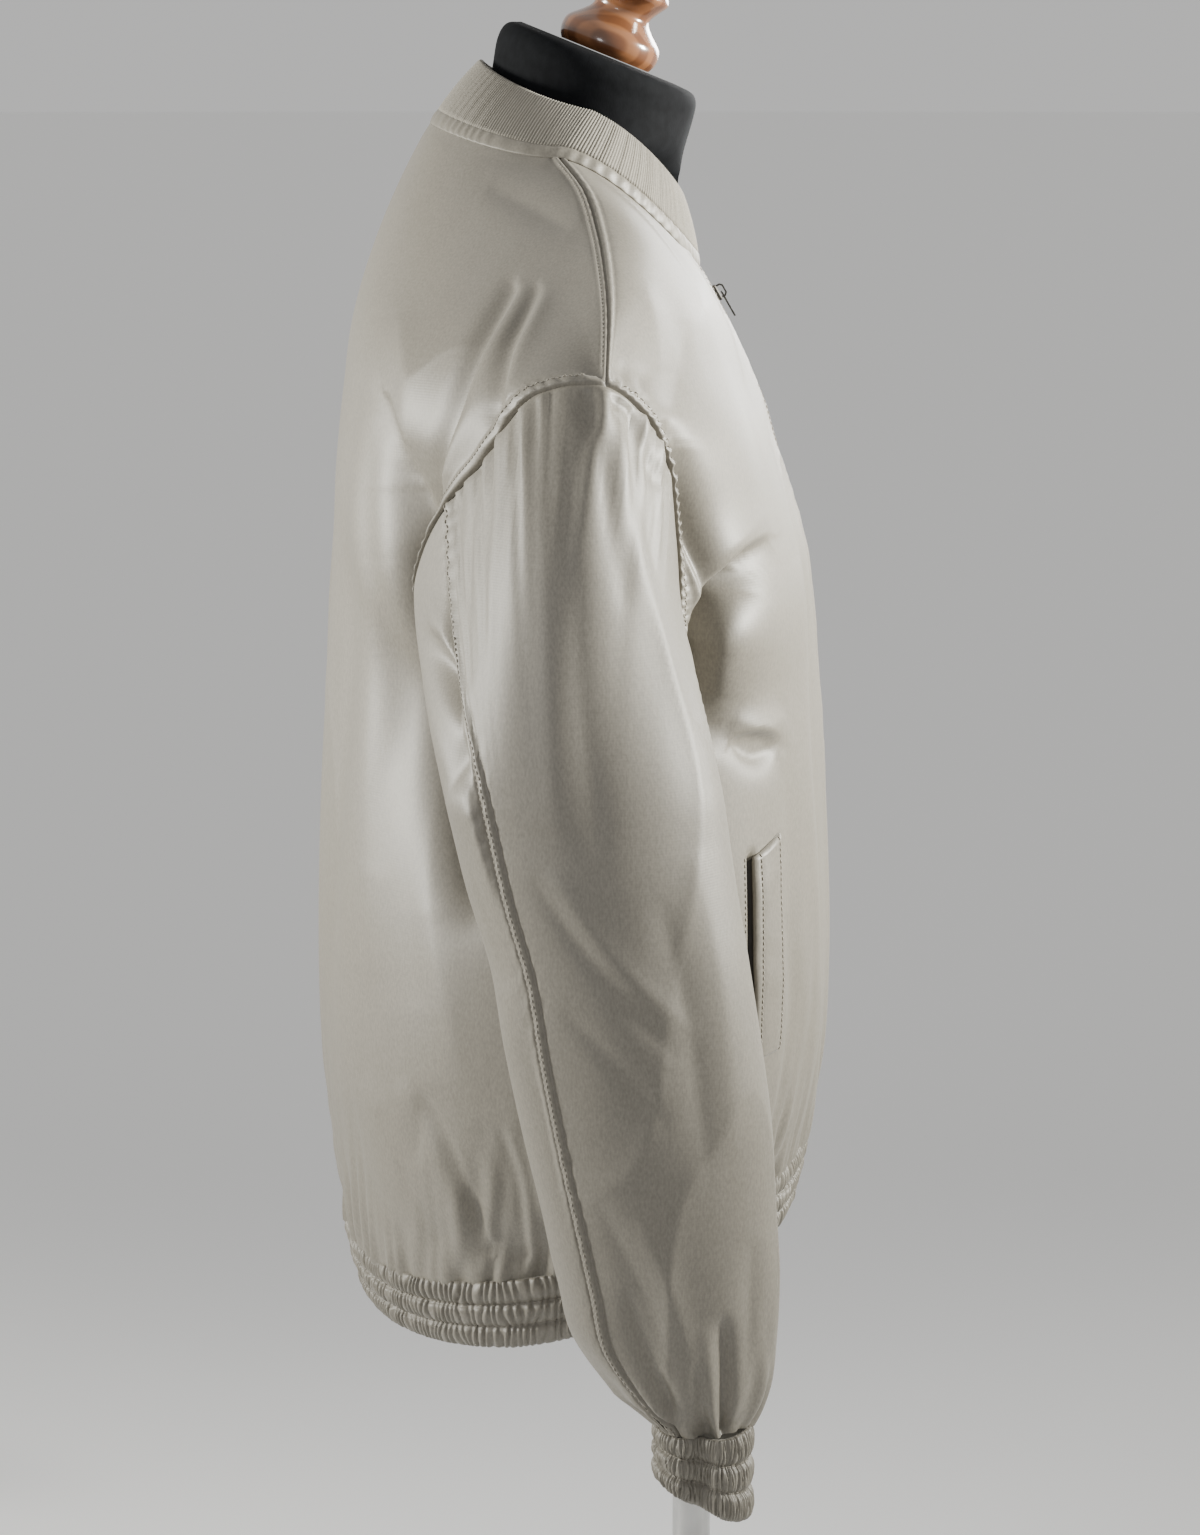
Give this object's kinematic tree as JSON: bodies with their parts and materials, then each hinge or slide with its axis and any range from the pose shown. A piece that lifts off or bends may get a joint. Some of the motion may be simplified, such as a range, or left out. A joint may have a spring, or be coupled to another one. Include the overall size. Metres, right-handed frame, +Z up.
{
  "type": "bomber jacket on a dress form",
  "caption": "Closed satin bomber jacket with a rib knit collar, gathered cuffs and hem and slanted welt pockets, on a limbless dress form with a round steel base.",
  "frame": {"origin": "on the floor under the middle of the stand's base and pole", "axes": "+Z up; the jacket's front faces -Y and the wearer's left is +X"},
  "size_m": [0.6624, 0.432, 1.0356],
  "materials": {
    "satin_cloth": "smooth satin weave with a soft sheen, greyed taupe",
    "rib_knit": "matte fine rib knit",
    "black_jersey": "matte black jersey cover",
    "turned_wood": "glossy stained varnish",
    "brushed_steel": "brushed",
    "dark_zip_metal": "dark semi-gloss coat"
  },
  "bodies": {
    "jacket_on_form": {"back": "satin_cloth", "front_right": "satin_cloth", "front_left": "satin_cloth", "sleeve_upper_right": "satin_cloth", "sleeve_upper_left": "satin_cloth", "sleeve_under_right": "satin_cloth", "sleeve_under_left": "satin_cloth", "pocket_welt_right": "satin_cloth", "pocket_welt_left": "satin_cloth", "hem_band": "satin_cloth", "cuff_right": "satin_cloth", "cuff_left": "satin_cloth", "neck_band": "satin_cloth", "collar": "rib_knit", "zip_chain": "dark_zip_metal", "zip_slider": "dark_zip_metal", "form_body": "black_jersey", "neck_finial": "turned_wood", "stand_pole": "brushed_steel", "stand_base": "brushed_steel"},
    "pull_tab": {"zip_pull_tab": "dark_zip_metal"}
  },
  "joints": [
    {"name": "pull_tab_hinge", "type": "hinge", "parent": "jacket_on_form", "child": "pull_tab", "pos_m": [0, -0.01368, 0.83403], "axis": [-1, 0, 0], "range_deg": [0, 150]}
  ]
}
